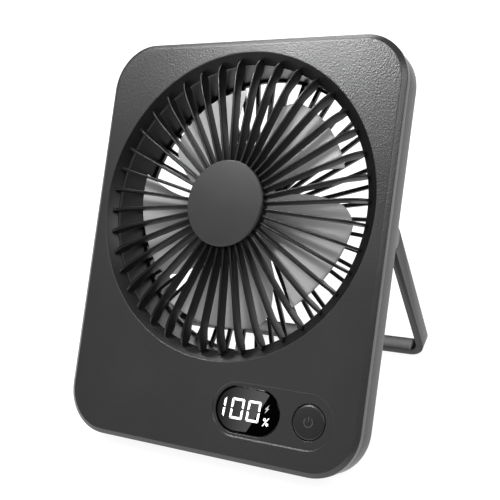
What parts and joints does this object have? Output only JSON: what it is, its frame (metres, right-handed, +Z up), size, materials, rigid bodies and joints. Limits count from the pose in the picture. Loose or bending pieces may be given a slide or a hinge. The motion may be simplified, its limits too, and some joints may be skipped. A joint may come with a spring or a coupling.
{
  "type": "desk fan",
  "caption": "Slim rechargeable desk fan: flat rounded body with a ribbed round grille, digital display, push button and a folding rear bail that leans it back.",
  "frame": {"origin": "on the ground, under the middle of the fan's box", "axes": "+X to the fan's right side as seen from the front, +Y away from the front, +Z up"},
  "size_m": [0.146, 0.134, 0.1426],
  "materials": {
    "casing": "fine moulded texture, charcoal",
    "grille": "satin, charcoal",
    "grille_cap": "fine moulded texture, charcoal",
    "duct": "smooth, black",
    "impeller": "satin, light grey",
    "bail": "satin, charcoal",
    "rubber": "soft, black",
    "window": "polished, black",
    "display": "black block",
    "button": "satin, charcoal",
    "switch": "black",
    "board": "green laminate",
    "battery": "silver pouch",
    "foam": "grey foam",
    "lead": "red sleeve",
    "ribbon": "white flat lead",
    "zinc": "turned",
    "steel": "bright",
    "screw": "blackened",
    "copper": "enamelled copper wire",
    "magnet": "sintered"
  },
  "bodies": {
    "body": {"front_shell": "casing", "rear_shell": "casing", "front_grille": "grille", "grille_cap": "grille_cap", "body_feet": "rubber", "air_duct": "duct", "rear_grille": "grille", "motor_base": "zinc", "front_bearing": "steel", "rear_bearing": "steel", "stator_core": "steel", "stator_windings": "copper", "display_window": "window", "display_module": "display", "main_board": "board", "tact_switch": "steel", "usb_socket": "steel", "charge_board": "board", "battery_cell": "battery", "battery_pad": "foam", "battery_leads": "lead", "charge_leads": "lead", "motor_ribbon": "ribbon", "casing_screws": "screw", "board_screws": "screw", "motor_screws": "screw", "hinge_pins": "steel"},
    "fan_wheel": {"impeller": "impeller", "rotor_bell": "steel", "rotor_magnet": "magnet", "motor_shaft": "steel", "shaft_clip": "steel"},
    "stand": {"stand_bail": "bail", "bail_foot": "rubber"},
    "button": {"power_button": "button", "switch_plunger": "switch"}
  },
  "joints": [
    {"name": "fan_spin", "type": "hinge", "parent": "body", "child": "fan_wheel", "pos_m": [0, 0.00958, 0.08443], "axis": [0, 0.7404, -0.6722], "continuous": true},
    {"name": "stand_hinge", "type": "hinge", "parent": "body", "child": "stand", "pos_m": [0, 0.01285, 0.07241], "axis": [1, 0, 0], "range_deg": [-52.3, 67.7]},
    {"name": "button_press", "type": "slide", "parent": "body", "child": "button", "axis": [0, 0.7404, -0.6722], "range_m": [0, 0.0006], "stiffness_N_per_m": 1500}
  ]
}
